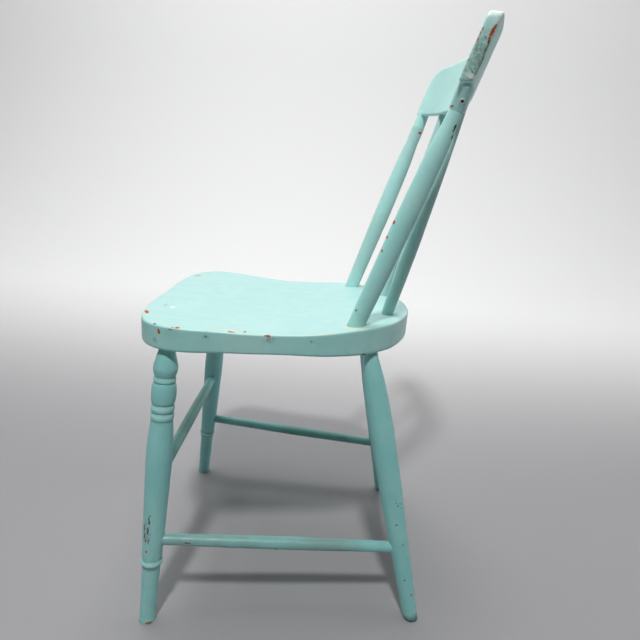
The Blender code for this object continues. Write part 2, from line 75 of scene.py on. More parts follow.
# Legs: feet on the floor, necks under the seat
LEG_FEET = {
    "leg_front_left": (0.186, -0.188),
    "leg_front_right": (-0.186, -0.193),
    "leg_back_left": (0.150, 0.189),
    "leg_back_right": (-0.168, 0.180),
}
LEG_NECKS = {
    "leg_front_left": (0.160, -0.1665),
    "leg_front_right": (-0.160, -0.162),
    "leg_back_left": (0.116, 0.089),
    "leg_back_right": (-0.116, 0.102),
}
LEG_TENON = 0.013
LEG_NECK_RADIUS = 0.0090
LEG_MAX_RADIUS = 0.0167
FOOT_RADIUS = 0.0111
FOOT_LENGTH = 0.006
ANKLE_RADIUS = 0.0107
BACK_FOOT_RADIUS = 0.0110
BACK_MAX_RADIUS = 0.0171
ANKLE_SHARE = 0.79
LOW_RING_HEIGHT = 0.0915
LOW_RING_LENGTH = 0.0078
LOW_RING_RADIUS = 0.0147
CAP_BULB_DROP = 0.009
CAP_BULB_LENGTH = 0.030
CAP_BULB_RADIUS = 0.0154
UPPER_RING_LENGTH = 0.0075
UPPER_RING_RADIUS = 0.0140
BULB_LENGTH = 0.0289
BULB_RADIUS = 0.0157
LOWER_RING_LENGTH = 0.0110
LOWER_RING_RADIUS = 0.0149
GROOVE_RADIUS = 0.0126

# How a leg swells: how far along it, and the radius there as a share of the greatest
FRONT_SWELL = ((0.22, 1.0), (0.50, 0.945), (0.80, 0.865))
BACK_SWELL = ((0.90, 0.82), (0.80, 0.955), (0.68, 1.0), (0.50, 0.93), (0.29, 0.79))

# Stretchers
SIDE_STRETCHER_FRONT_Z = 0.1277
SIDE_STRETCHER_BACK_Z = 0.1122
FRONT_STRETCHER_Z = 0.219
BACK_STRETCHER_Z = 0.205
STRETCHER_END_RADIUS = 0.0076
STRETCHER_RADIUS = 0.0086
STRETCHER_INSET = 0.006

# Back
POST_FOOT_X = 0.122
POST_FOOT_Y = {"left": 0.0672, "right": 0.0752}
POST_TOP_X = 0.1245
POST_TOP_Y = 0.157
POST_TOP_Z = 0.701
POST_FOOT_RADIUS = 0.0109
POST_RADIUS = 0.0126
POST_NECK_RADIUS = 0.0088
POST_SINK = 0.012
SPINDLE_SEAT_X = 0.060
SPINDLE_SEAT_Y = {"left": 0.115, "right": 0.1225}
SPINDLE_TOP_X = {"left": 0.065, "right": 0.058}
SPINDLE_TOP_BACK = {"left": 0.0, "right": 0.003}
SPINDLE_FOOT_RADIUS = 0.0080
SPINDLE_RADIUS = 0.0098
SPINDLE_TOP_RADIUS = 0.0068
CREST_LEAN = radians(17.5)
CREST_THICKNESS = 0.0155
CREST_HALF = 0.1420
CREST_SHIFT = 0.0080
CREST_LOW = 0.0215
CREST_LOW_RISE = 0.0032
CREST_TOP = 0.103
CREST_CROWN = 0.006
CREST_TILT = 0.0035
CREST_LEFT_CORNER = 0.010
CREST_RIGHT_CORNER = 0.026
CREST_SAG = 0.027
CREST_ROUND = 0.0025
CREST_NECK_RADIUS = 0.0096
CREST_NECK_TOP_RADIUS = 0.0082
CREST_NECK_LENGTH = 0.026
LEFT_NECK_REACH = 0.0150
POST_OVERLAP = {"left": -0.0004, "right": 0.001}
POST_SHOULDER = {"left": POST_NECK_RADIUS, "right": CREST_NECK_RADIUS * 0.985}
NAIL_HEIGHT = 0.0115
NAIL_HEAD_RADIUS = 0.0019
NAIL_SHANK = 0.006
FILLER_RADIUS = NAIL_HEAD_RADIUS * 1.30
FILLER_HALF_WIDTH = 0.0007
FILLER_HALF_DEPTH = 0.0006
FILLER_SINK = 0.0002

# Room: where the backdrop starts to sweep up behind the chair and how widely, and what the lamps face
SWEEP_REACH = 6.0
SWEEP_START = 0.6
SWEEP_RADIUS = 1.2
LAMP_TARGET = Vector((0.0, 0.0, 0.45))

# Where the sheet turns from grey to white, measured up and away from the camera; the grey low part is
# painted shade
PALE_LEAN = 0.35
PALE_FROM = 0.05
PALE_TO = 0.60

# How far a groove's painted shade reaches, and how wide a ridge's rubbed paint and painted highlight is
GROOVE_SPREAD = 0.0014
RIDGE_SPREAD = 0.0026

# How deep and how wide the unevenness of sanding and thick paint is
UNEVEN_SEAT = (0.00035, 0.05)
UNEVEN_CREST = (0.00025, 0.04)
UNEVEN_TURNING = (0.00022, 0.03)
UNEVEN_ROD = (0.00020, 0.025)
UNEVEN_SPINDLE = (0.00018, 0.03)
UNEVEN_FILLER = (0.0005, 0.003)

# How finely the pieces are made
TURNING_SLICES = 56
FILLER_SLICES = 32
FILLER_STEPS = 12
WELD = 0.00001
OUTLINE_STEPS = 9
OUTLINE_WELD = 0.0001
CREST_VOXEL = 0.0011

# Colours, linear
AQUA = (0.355, 0.720, 0.680, 1.0)
AQUA_WORN = (0.440, 0.760, 0.715, 1.0)
AQUA_DEEP = (0.225, 0.540, 0.510, 1.0)
AQUA_LEG = (0.265, 0.640, 0.625, 1.0)
# Darker coat for the rods under the seat: painted shade
AQUA_ROD_SHADED = (0.140, 0.330, 0.300, 1.0)
AQUA_PALE = (0.500, 0.860, 0.815, 1.0)
AQUA_GREY = (0.240, 0.410, 0.380, 1.0)
# Seat top colours, paler partly from wear and partly as painted highlight; the second is also painted
# bounce light
SEAT_PALE = (0.380, 0.652, 0.626, 1.0)
FADED_AND_LIT_AQUA = (0.456, 0.708, 0.676, 1.0)
PRIMER = (0.62, 0.60, 0.52, 1.0)
ORANGE = (0.60, 0.110, 0.032, 1.0)
RED_BROWN = (0.27, 0.050, 0.028, 1.0)
SAGE = (0.230, 0.345, 0.280, 1.0)
CHALK = (0.860, 0.930, 0.870, 1.0)
STRAW = (0.62, 0.62, 0.46, 1.0)
# Painted shade: the colour of the grooves, and of the rods in the seat's shadow
SHADE_TEAL = (0.075, 0.200, 0.185, 1.0)
OLD_WOOD = (0.070, 0.040, 0.024, 1.0)
GRIME = (0.085, 0.115, 0.090, 1.0)
RUST = (0.200, 0.075, 0.035, 1.0)
FLOOR_GREY = (0.34, 0.335, 0.345, 1.0)
FILLER_PALE = (0.74, 0.78, 0.72, 1.0)
WALL_WHITE = (0.95, 0.95, 0.95, 1.0)
SKY = (0.86, 0.88, 0.92, 1.0)
SKY_STRENGTH = 0.06

# Noises: how many marks there are in a metre, in how many layers, and how rough they are
BROAD_FADE = (9.0, 3.0, 0.6)
CLOUDS = (45.0, 4.0, 0.6)
BRUSH_MARKS = (1.0, 4.0, 0.65)
COARSE_FRAY = (260.0, 3.0, 0.6)
FINE_FRAY = (1100.0, 2.0, 0.6)
TINT_BLOTCHES = (280.0, 4.0, 0.68)
DIRT_PATCHES = (300.0, 4.0, 0.6)
SPECKS = (520.0, 1.0, 0.4)
OLD_COAT_MOTTLE = (700.0, 2.0, 0.6)
RIM_BREAKS = (120.0, 4.0, 0.65)
PAINT_SKIN = (900.0, 2.0, 0.5)
RUST_PITS = (1500.0, 4.0, 0.7)
FILLER_CRUMBS = (1200.0, 4.0, 0.7)

# How far the edges of chips are frayed, in metres
COARSE_FRAY_REACH = 0.0042
FINE_FRAY_REACH = 0.0013


# Shapes

def between(start, end, share):
    """A number or a place some share of the way from one to another."""
    return start + (end - start) * share


def at_height(start, end, height):
    """The point of a line that has the given height."""
    return between(start, end, (height - start.z) / (end.z - start.z))


def smooth_run(points, steps):
    """Points along a smooth curve through the given ones, without the last."""
    run = []
    for index in range(len(points) - 1):
        before = points[max(index - 1, 0)]
        start = points[index]
        end = points[index + 1]
        after = points[min(index + 2, len(points) - 1)]
        for step in range(steps):
            t = step / steps
            pair = []
            for a, b, c, d in zip(before, start, end, after):
                pull = (c - a) * t + (2 * a - 5 * b + 4 * c - d) * t * t + (3 * b - a - 3 * c + d) * t ** 3
                pair.append(b + pull / 2)
            run.append(tuple(pair))
    return run


def bead(radius, groove, top, length, steps=12, fullness=1.0):
    """A half-round ring of a turning, from its upper groove down to its lower one."""
    run = []
    for step in range(steps):
        angle = pi * step / steps
        swell = (radius - groove) * sin(angle) ** fullness
        run.append((groove + swell, top - length * (1 - cos(angle)) / 2))
    return run


def placed(name, data):
    """A new object in the scene."""
    thing = bpy.data.objects.new(name, data)
    bpy.context.scene.collection.objects.link(thing)
    return thing


def mesh_of(holder):
    """The mesh that an object comes out as. The object itself goes."""
    mesh = bpy.data.meshes.new_from_object(holder.evaluated_get(bpy.context.evaluated_depsgraph_get()))
    bpy.data.objects.remove(holder, do_unlink=True)
    return mesh


def finish_piece(bm, name, paint, node):
    """Makes the piece's object, gives it its material and lets it stand for its CAD node."""
    mesh = bpy.data.meshes.new(name)
    bm.to_mesh(mesh)
    bm.free()
    mesh.shade_smooth()
    piece = placed(name, mesh)
    mesh.materials.append(paint)
    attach(piece, "root")
    if node:
        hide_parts(node)
    return piece


def weather(bm, uneven, seed):
    """Presses a faint unevenness into a surface, as hand sanding and thick paint leave it."""
    amount, size = uneven
    bm.normal_update()
    offset = Vector((seed, seed * 2, seed * 3))
    moved = []
    for vert in bm.verts:
        lift = noise.fractal(vert.co / size + offset, 1.0, 2.0, 3)
        moved.append(vert.co + vert.normal * lift * amount)
    for vert, place in zip(bm.verts, moved):
        vert.co = place


def lay(bm, start, end):
    """Turns a piece made along +Z to run from start towards end."""
    turn = (end - start).to_track_quat("Z", "Y").to_matrix().to_4x4()
    bmesh.ops.transform(bm, matrix=Matrix.Translation(start) @ turn, verts=bm.verts)


def revolved(profile, slices, closed=False):
    """Spins radius and height pairs round +Z, as a chain or as a closed ring."""
    bm = bmesh.new()
    verts = [bm.verts.new((radius, 0.0, height)) for radius, height in profile]
    following = verts[1:] + verts[:1] if closed else verts[1:]
    for upper, lower in zip(verts, following):
        bm.edges.new((upper, lower))
    bmesh.ops.spin(bm, geom=bm.verts[:] + bm.edges[:], axis=(0, 0, 1), cent=(0, 0, 0), steps=slices,
                   angle=2 * pi, use_merge=True)
    bmesh.ops.remove_doubles(bm, verts=bm.verts, dist=WELD)
    bmesh.ops.recalc_face_normals(bm, faces=bm.faces)
    return bm


def spun(profile, grooves=(), ridges=()):
    """A turning from a profile listed top to bottom, marked with how near a groove or ridge is."""
    bm = revolved(profile, TURNING_SLICES)
    for name, heights, spread in (("groove", grooves, GROOVE_SPREAD), ("ridge", ridges, RIDGE_SPREAD)):
        layer = bm.verts.layers.float.new(name)
        for vert in bm.verts:
            for height in heights:
                vert[layer] = max(vert[layer], exp(-((vert.co.z - height) / spread) ** 2))
    return bm


def front_leg(reach):
    """Front leg profile; heights of grooves (painted shade) and ridges (rubbed paint, painted highlight).
    """
    cap = reach - CAP_BULB_DROP
    ring = cap - CAP_BULB_LENGTH
    bulb = ring - UPPER_RING_LENGTH
    second = bulb - BULB_LENGTH
    third = second - LOWER_RING_LENGTH
    shaft = third - LOWER_RING_LENGTH
    low_top = LOW_RING_HEIGHT + LOW_RING_LENGTH
    profile = [(0.0, reach + LEG_TENON), (LEG_NECK_RADIUS, reach + LEG_TENON)]
    profile += smooth_run([(LEG_NECK_RADIUS, reach), (LEG_NECK_RADIUS * 1.25, cap),
                           (CAP_BULB_RADIUS, cap - CAP_BULB_LENGTH * 0.62),
                           (GROOVE_RADIUS, ring)], 9)
    profile += bead(UPPER_RING_RADIUS, GROOVE_RADIUS, ring, UPPER_RING_LENGTH)
    profile += bead(BULB_RADIUS, GROOVE_RADIUS, bulb, BULB_LENGTH, steps=20, fullness=0.8)
    profile += bead(LOWER_RING_RADIUS, GROOVE_RADIUS, second, LOWER_RING_LENGTH)
    profile += bead(LOWER_RING_RADIUS, GROOVE_RADIUS, third, LOWER_RING_LENGTH)
    swell = [(LEG_MAX_RADIUS * share, between(shaft, low_top, down)) for down, share in FRONT_SWELL]
    profile += smooth_run([(GROOVE_RADIUS, shaft), (GROOVE_RADIUS * 1.13, shaft - 0.004), *swell,
                           (LEG_MAX_RADIUS * ANKLE_SHARE, low_top)], 10)
    profile += bead(LOW_RING_RADIUS, ANKLE_RADIUS * 1.16, low_top, LOW_RING_LENGTH)
    profile += smooth_run([(ANKLE_RADIUS * 1.14, LOW_RING_HEIGHT), (ANKLE_RADIUS, FOOT_LENGTH * 2.2),
                           (FOOT_RADIUS, FOOT_LENGTH), (FOOT_RADIUS, -FOOT_LENGTH)], 8)
    profile += [(FOOT_RADIUS, -FOOT_LENGTH), (0.0, -FOOT_LENGTH)]
    grooves = (ring, bulb, second, third, shaft, low_top, LOW_RING_HEIGHT)
    ridges = (ring - UPPER_RING_LENGTH * 0.4, second - LOWER_RING_LENGTH * 0.35,
              third - LOWER_RING_LENGTH * 0.35, low_top - LOW_RING_LENGTH * 0.4)
    return profile, grooves, ridges


def back_leg(reach):
    """The back leg's profile: a plain vase with a long taper, without grooves or ridges."""
    profile = [(0.0, reach + LEG_TENON), (LEG_NECK_RADIUS, reach + LEG_TENON)]
    swell = [(BACK_MAX_RADIUS * share, reach * up) for up, share in BACK_SWELL]
    profile += smooth_run([(LEG_NECK_RADIUS, reach), *swell, (BACK_FOOT_RADIUS, reach * 0.03)], 10)
    profile += [(BACK_FOOT_RADIUS, reach * 0.03), (BACK_FOOT_RADIUS, -FOOT_LENGTH), (0.0, -FOOT_LENGTH)]
    return profile, (), ()


def cut_level(bm):
    """Saws the foot off at the floor and closes it."""
    cut = bmesh.ops.bisect_plane(bm, geom=bm.verts[:] + bm.edges[:] + bm.faces[:], dist=WELD,
                                 plane_co=(0, 0, 0), plane_no=(0, 0, -1), clear_outer=True)
    rim = [item for item in cut["geom_cut"] if isinstance(item, bmesh.types.BMEdge)]
    bmesh.ops.contextual_create(bm, geom=rim)
    bmesh.ops.recalc_face_normals(bm, faces=bm.faces)


def leg_axis(name):
    """A leg's foot on the floor and its neck under the seat."""
    return Vector((*LEG_FEET[name], 0.0)), Vector((*LEG_NECKS[name], SEAT_BOTTOM))


def make_leg(name, paint):
    """A turned leg, sawn level at the floor."""
    foot, neck = leg_axis(name)
    reach = (neck - foot).length
    profile, grooves, ridges = front_leg(reach) if "front" in name else back_leg(reach)
    bm = spun(profile, grooves, ridges)
    lay(bm, foot, neck)
    weather(bm, UNEVEN_TURNING, len(name))
    cut_level(bm)
    piece = finish_piece(bm, name + "_turned", paint, name)
    return piece


def make_rod(name, first, second, first_z, second_z, paint):
    """A stretcher let into two legs."""
    start = at_height(*leg_axis(first), first_z)
    end = at_height(*leg_axis(second), second_z)
    along = (end - start).normalized() * STRETCHER_INSET
    start += along
    end -= along
    length = (end - start).length
    profile = [(0.0, length)]
    profile += smooth_run([(STRETCHER_END_RADIUS, length), (STRETCHER_END_RADIUS, length * 0.90),
                           (STRETCHER_RADIUS, length * 0.5), (STRETCHER_END_RADIUS, length * 0.10),
                           (STRETCHER_END_RADIUS, 0.0)], 14)
    profile += [(STRETCHER_END_RADIUS, 0.0), (0.0, 0.0)]
    bm = spun(profile)
    lay(bm, start, end)
    weather(bm, UNEVEN_ROD, length * 50)
    piece = finish_piece(bm, name + "_rod", paint, name)
    return piece


def dish(x, y):
    """How far the saddled top lies below its highest line, the back rim."""
    away = min(abs(y - DISH_CENTRE_Y) / DISH_REACH, 1.0)
    across = 1.0 - min(abs(x) / SEAT_HALF_WAIST, 1.0) ** 2
    hollow = (DISH_SIDE + (DISH_MIDDLE - DISH_SIDE) * across) * cos(away * pi / 2) ** 2
    forward = min(max((POST_FOOT_Y["left"] - y) / SEAT_FRONT, 0.0), 1.0)
    return hollow + SEAT_FRONT_DROP * forward


def seat_outline():
    """Key points of the plank's outline, around from the middle of the front edge."""
    side = [(SEAT_HALF_FRONT - SEAT_CORNER * 1.25, -SEAT_FRONT + SEAT_BOW * 0.4)]
    centre = (SEAT_HALF_FRONT - SEAT_CORNER, -SEAT_FRONT + SEAT_BOW + SEAT_CORNER)
    for angle in (radians(-72), radians(-42), radians(-12)):
        side.append((centre[0] + SEAT_CORNER * cos(angle), centre[1] + SEAT_CORNER * sin(angle)))
    side.append((between(SEAT_HALF_FRONT, SEAT_HALF_WAIST, 0.45), between(centre[1], SEAT_WAIST_Y, 0.5)))
    side.append((SEAT_HALF_WAIST, SEAT_WAIST_Y))
    depth = SEAT_BACK - SEAT_BACK_ARC_Y
    for angle in (radians(10), radians(35), radians(62)):
        side.append((SEAT_HALF_BACK * cos(angle), SEAT_BACK_ARC_Y + depth * sin(angle)))
    other = [(-x, y) for x, y in reversed(side)]
    return [(0.0, -SEAT_FRONT)] + side + [(0.0, SEAT_BACK)] + other


def outline_edges(name, points, steps):
    """The edges of a closed smooth curve through the points, as a mesh."""
    curve = bpy.data.curves.new(name, "CURVE")
    curve.dimensions = "2D"
    curve.fill_mode = "NONE"
    curve.resolution_u = steps
    spline = curve.splines.new("BEZIER")
    spline.bezier_points.add(len(points) - 1)
    spline.use_cyclic_u = True
    for knot, (x, y) in zip(spline.bezier_points, points):
        knot.co = (x, y, 0.0)
        knot.handle_left_type = "AUTO"
        knot.handle_right_type = "AUTO"
    return mesh_of(placed(name, curve))


def seat_blank():
    """The outline pulled to the plank's thickness."""
    bm = bmesh.new()
    bm.from_mesh(outline_edges("seat_outline", seat_outline(), OUTLINE_STEPS))
    bmesh.ops.remove_doubles(bm, verts=bm.verts, dist=OUTLINE_WELD)
    bmesh.ops.contextual_create(bm, geom=bm.edges)
    bmesh.ops.translate(bm, verts=bm.verts, vec=(0.0, 0.0, SEAT_BOTTOM))
    pulled = bmesh.ops.extrude_face_region(bm, geom=bm.faces)
    raised = [v for v in pulled["geom"] if isinstance(v, bmesh.types.BMVert)]
    bmesh.ops.translate(bm, verts=raised, vec=(0.0, 0.0, SEAT_THICKNESS))
    bmesh.ops.recalc_face_normals(bm, faces=bm.faces)
    return bm


def round_rims(bm):
    """Cuts the plank's wall into rows and rounds its upper and lower rims."""
    walls = [e for e in bm.edges if abs(e.verts[0].co.z - e.verts[1].co.z) > SEAT_THICKNESS / 2]
    bmesh.ops.subdivide_edges(bm, edges=walls, cuts=5, use_grid_fill=True)
    for height, width in ((SEAT_TOP, SEAT_UPPER_ROUND), (SEAT_BOTTOM, SEAT_LOWER_ROUND)):
        rim = [e for e in bm.edges if all(abs(v.co.z - height) < 0.0001 for v in e.verts)]
        bmesh.ops.bevel(bm, geom=rim, offset=width, segments=6, profile=0.5, affect="EDGES", material=-1)


def ring_faces(bm):
    """Cuts the flat top and underside into rings, so that the top can be dished."""
    centre = Vector((0.0, DISH_CENTRE_Y, 0.0))
    for height, rings in ((SEAT_TOP, 16), (SEAT_BOTTOM, 8)):
        flat = [f for f in bm.faces if len(f.verts) > 8 and abs(f.calc_center_median().z - height) < 0.001]
        face = flat[0]
        centre.z = height
        for ring in range(rings):
            bmesh.ops.inset_region(bm, faces=[face], thickness=0.0004)
            for vert in face.verts:
                vert.co = between(centre, vert.co, 1 - 1 / (rings - ring + 1.2))
        bmesh.ops.poke(bm, faces=[face])


def make_seat(paint):
    """The plank, rounded at its rims and dished on top."""
    bm = seat_blank()
    round_rims(bm)
    ring_faces(bm)
    for vert in bm.verts:
        share = (vert.co.z - SEAT_BOTTOM) / SEAT_THICKNESS
        vert.co.z -= dish(vert.co.x, vert.co.y) * share
    weather(bm, UNEVEN_SEAT, 3.0)
    piece = finish_piece(bm, "seat_plank", paint, "seat")
    return piece


def seat_point(x, y):
    """A point on the dished top."""
    return Vector((x, y, SEAT_TOP - dish(x, y)))


def crest_bend(x):
    """How far the rail bows back of the posts' tops, at a distance x from the chair's middle."""
    return CREST_SAG * (POST_TOP_X ** 2 - x ** 2) / CREST_HALF ** 2


def crest_point(x, height):
    """A point in the middle of the rail's thickness, at a height up its lean."""
    bend = crest_bend(x)
    y = POST_TOP_Y + bend * cos(CREST_LEAN) + height * sin(CREST_LEAN)
    return Vector((x, y, POST_TOP_Z + height * cos(CREST_LEAN) - bend * sin(CREST_LEAN)))


def rounded(along, half, corner):
    """How far a rounded corner has turned in, from 0 to 1, towards the end of a side."""
    past = max(along - (half - corner), 0.0) / corner
    return 1 - max(1 - past ** 2, 0.0) ** 0.5


def crest_top(along):
    """The rail's crowned upper edge, with its two corners."""
    corner = CREST_LEFT_CORNER if along > 0 else CREST_RIGHT_CORNER
    share = along / CREST_HALF
    crowned = CREST_TOP + CREST_TILT * share - CREST_CROWN * share ** 2
    return crowned - corner * rounded(abs(along), CREST_HALF, corner)


def crest_low(along):
    """The rail's lower edge, which climbs a little towards its left end."""
    return CREST_LOW + CREST_LOW_RISE * max(along / CREST_HALF, 0.0) ** 2


def crest_plank():
    """The bent plank, made upright and then leaned back in its place."""
    bm = bmesh.new()
    bmesh.ops.create_cube(bm, size=2.0)
    for axis, cuts in ((0, 79), (1, 9), (2, 3)):
        edges = [e for e in bm.edges if abs(e.verts[0].co[axis] - e.verts[1].co[axis]) > 1.0]
        bmesh.ops.subdivide_edges(bm, edges=edges, cuts=cuts, use_grid_fill=True)
    half_thickness = CREST_THICKNESS / 2
    for vert in bm.verts:
        along = CREST_HALF * sin(vert.co.x * pi / 2)
        across = half_thickness * sin(vert.co.y * pi / 2)
        eased = CREST_ROUND * rounded(abs(across), half_thickness, CREST_ROUND)
        low = crest_low(along) + eased
        high = crest_top(along) - eased
        z = between(low, high, (vert.co.z + 1) / 2) + across * tan(CREST_LEAN)
        across *= 1 - CREST_ROUND / half_thickness * rounded(abs(along), CREST_HALF, CREST_ROUND)
        x = along + CREST_SHIFT
        vert.co = Vector((x, across + crest_bend(x), z))
    lean = Matrix.Rotation(-CREST_LEAN, 4, "X")
    place = Matrix.Translation((0.0, POST_TOP_Y, POST_TOP_Z))
    bmesh.ops.transform(bm, matrix=place @ lean, verts=bm.verts)
    return bm


def add_neck(bm, sign, reach):
    """A short round neck under the plank, over a post, leaning out by its reach."""
    start = crest_point(sign * POST_TOP_X, 0.0)
    end = crest_point(sign * (POST_TOP_X + reach), CREST_NECK_LENGTH)
    turn = (end - start).to_track_quat("Z", "Y").to_matrix().to_4x4()
    place = Matrix.Translation((start + end) / 2) @ turn
    bmesh.ops.create_cone(bm, cap_ends=True, segments=TURNING_SLICES, radius1=CREST_NECK_RADIUS,
                          radius2=CREST_NECK_TOP_RADIUS, depth=(end - start).length, matrix=place)


def grown_together(bm, voxel):
    """Fuses overlapping solids into one skin and softens where they meet."""
    mesh = bpy.data.meshes.new("fusing")
    bm.to_mesh(mesh)
    bm.free()
    holder = placed("fusing", mesh)
    remesh = holder.modifiers.new("skin", "REMESH")
    remesh.mode = "VOXEL"
    remesh.voxel_size = voxel
    fused = bmesh.new()
    fused.from_mesh(mesh_of(holder))
    for _ in range(3):
        bmesh.ops.smooth_vert(fused, verts=fused.verts, factor=0.5, use_axis_x=True, use_axis_y=True,
                              use_axis_z=True)
    return fused


def make_crest(paint):
    """The rail. Its left neck is two cones, one upright and one leaning out into the ear."""
    bm = crest_plank()
    for sign, reach in ((1, 0.0), (1, LEFT_NECK_REACH), (-1, 0.0)):
        add_neck(bm, sign, reach)
    fused = grown_together(bm, CREST_VOXEL)
    weather(fused, UNEVEN_CREST, 7.0)
    piece = finish_piece(fused, "crest_rail_plank", paint, "crest_rail")
    return piece


def make_post(side, sign, paint):
    """A stout back post. The left one stops under a wider neck, the right one is flush with its neck."""
    foot = seat_point(sign * POST_FOOT_X, POST_FOOT_Y[side])
    top = crest_point(sign * POST_TOP_X, 0.0)
    length = (top - foot).length
    tip = length + POST_OVERLAP[side]
    shoulder = POST_SHOULDER[side]
    profile = [(0.0, tip)]
    profile += smooth_run([(shoulder * 0.93, tip), (shoulder, tip - 0.0012),
                           (POST_NECK_RADIUS * 1.07, length * 0.92),
                           (POST_RADIUS * 0.90, length * 0.81), (POST_RADIUS * 0.98, length * 0.66),
                           (POST_RADIUS, length * 0.48), (POST_FOOT_RADIUS * 1.06, length * 0.15),
                           (POST_FOOT_RADIUS, 0.0)], 12)
    profile += [(POST_FOOT_RADIUS, 0.0), (POST_FOOT_RADIUS, -POST_SINK), (0.0, -POST_SINK)]
    bm = spun(profile)
    lay(bm, foot, top)
    weather(bm, UNEVEN_TURNING, sign + 5.0)
    piece = finish_piece(bm, "post_" + side + "_turned", paint, "post_" + side)
    return piece


def make_spindle(side, sign, paint):
    """A thin spindle, let into the seat and into the rail."""
    foot = seat_point(sign * SPINDLE_SEAT_X, SPINDLE_SEAT_Y[side])
    top = crest_point(sign * SPINDLE_TOP_X[side], CREST_LOW)
    top.y += SPINDLE_TOP_BACK[side]
    length = (top - foot).length
    tip = length + POST_SINK
    profile = [(0.0, tip), (SPINDLE_TOP_RADIUS, tip)]
    profile += smooth_run([(SPINDLE_TOP_RADIUS, length * 0.985), (SPINDLE_RADIUS * 0.90, length * 0.72),
                           (SPINDLE_RADIUS, length * 0.36), (SPINDLE_RADIUS * 0.90, length * 0.12),
                           (SPINDLE_FOOT_RADIUS, 0.0)], 12)
    profile += [(SPINDLE_FOOT_RADIUS, 0.0), (SPINDLE_FOOT_RADIUS, -POST_SINK), (0.0, -POST_SINK)]
    bm = spun(profile)
    lay(bm, foot, top)
    weather(bm, UNEVEN_SPINDLE, sign + 9.0)
    piece = finish_piece(bm, "spindle_" + side + "_turned", paint, "spindle_" + side)
    return piece


def nail_place(sign):
    """Where a nail's head shows on the outer side of a neck."""
    share = NAIL_HEIGHT / CREST_NECK_LENGTH
    radius = between(CREST_NECK_RADIUS, CREST_NECK_TOP_RADIUS, share)
    reach = LEFT_NECK_REACH if sign > 0 else 0.0
    outward = Vector((sign * CREST_NECK_LENGTH, 0.0, -reach)).normalized()
    return crest_point(sign * (POST_TOP_X + reach * share), NAIL_HEIGHT) + outward * radius, outward


def make_nail(side, sign, rusty):
    """A sunk rusty nail head."""
    surface, outward = nail_place(sign)
    head = NAIL_HEAD_RADIUS
    profile = [(0.0, 0.0001)]
    profile += smooth_run([(head * 0.4, 0.0001), (head * 0.85, -0.0001), (head, -0.0008),
                           (head, -NAIL_SHANK)], 4)
    profile += [(head, -NAIL_SHANK), (0.0, -NAIL_SHANK)]
    bm = spun(profile)
    lay(bm, surface, surface + outward)
    piece = finish_piece(bm, "nail_" + side + "_head", rusty, "nail_" + side)


def make_filler(side, sign, filler):
    """The ring of pale filler and chipped paint round a nail's head."""
    surface, outward = nail_place(sign)
    rim = []
    for step in range(FILLER_STEPS):
        angle = 2 * pi * step / FILLER_STEPS
        rim.append((FILLER_RADIUS + FILLER_HALF_WIDTH * cos(angle),
                    FILLER_HALF_DEPTH * sin(angle) - FILLER_SINK))
    bm = revolved(rim, FILLER_SLICES, closed=True)
    lay(bm, surface, surface + outward)
    weather(bm, UNEVEN_FILLER, sign + 2.0)
    ring = finish_piece(bm, "nail_" + side + "_filler", filler, None)


# Materials

class Graph:
    """Short words for wiring a material's nodes."""

    def __init__(self, name):
        self.material = bpy.data.materials.new(name)
        self.material.use_nodes = True
        self.tree = self.material.node_tree
        self.shader = self.tree.nodes["Principled BSDF"]
        self.place = self.tree.nodes.new("ShaderNodeTexCoord").outputs["Object"]

    def put(self, socket, value):
        if isinstance(value, bpy.types.NodeSocket):
            self.tree.links.new(value, socket)
        else:
            socket.default_value = value

    def math(self, operation, first, second):
        node = self.tree.nodes.new("ShaderNodeMath")
        node.operation = operation
        self.put(node.inputs[0], first)
        self.put(node.inputs[1], second)
        return node.outputs[0]

    def vector(self, operation, first, second=(0.0, 0.0, 0.0), scale=None):
        node = self.tree.nodes.new("ShaderNodeVectorMath")
        node.operation = operation
        self.put(node.inputs[0], first)
        self.put(node.inputs[1], second)
        if scale is not None:
            self.put(node.inputs["Scale"], scale)
        return node.outputs["Value" if operation == "LENGTH" else "Vector"]

    def mapped(self, where=(0, 0, 0), turn=(0, 0, 0), size=(1, 1, 1), source=None):
        node = self.tree.nodes.new("ShaderNodeMapping")
        node.vector_type = "TEXTURE"
        self.put(node.inputs["Vector"], source or self.place)
        node.inputs["Location"].default_value = where
        node.inputs["Rotation"].default_value = turn
        node.inputs["Scale"].default_value = size
        return node.outputs[0]

    def noise(self, kind, source=None, colour=False):
        marks, layers, rough = kind
        node = self.tree.nodes.new("ShaderNodeTexNoise")
        self.put(node.inputs["Vector"], source or self.place)
        node.inputs["Scale"].default_value = marks
        node.inputs["Detail"].default_value = layers
        node.inputs["Roughness"].default_value = rough
        return node.outputs["Color" if colour else "Fac"]

    def step(self, value, low, high, out_low=0.0, out_high=1.0):
        """A smooth rise from low to high."""
        node = self.tree.nodes.new("ShaderNodeMapRange")
        node.interpolation_type = "SMOOTHSTEP"
        self.put(node.inputs["Value"], value)
        names = ("From Min", "From Max", "To Min", "To Max")
        for name, number in zip(names, (low, high, out_low, out_high)):
            node.inputs[name].default_value = number
        return node.outputs[0]

    def mix(self, share, first, second):
        node = self.tree.nodes.new("ShaderNodeMix")
        node.data_type = "RGBA"
        node.clamp_factor = True
        self.put(node.inputs[0], share)
        self.put(node.inputs[6], first)
        self.put(node.inputs[7], second)
        return node.outputs[2]

    def laid(self, colour, mask, strength, over):
        """A colour with another laid over it where the mask is."""
        return self.mix(self.math("MULTIPLY", mask, strength), colour, over)

    def attribute(self, name):
        node = self.tree.nodes.new("ShaderNodeAttribute")
        node.attribute_name = name
        return node.outputs["Fac"]

    def bump(self, height, distance, strength, normal=None):
        node = self.tree.nodes.new("ShaderNodeBump")
        node.inputs["Distance"].default_value = distance
        node.inputs["Strength"].default_value = strength
        self.put(node.inputs["Height"], height)
        if normal:
            self.put(node.inputs["Normal"], normal)
        return node.outputs[0]


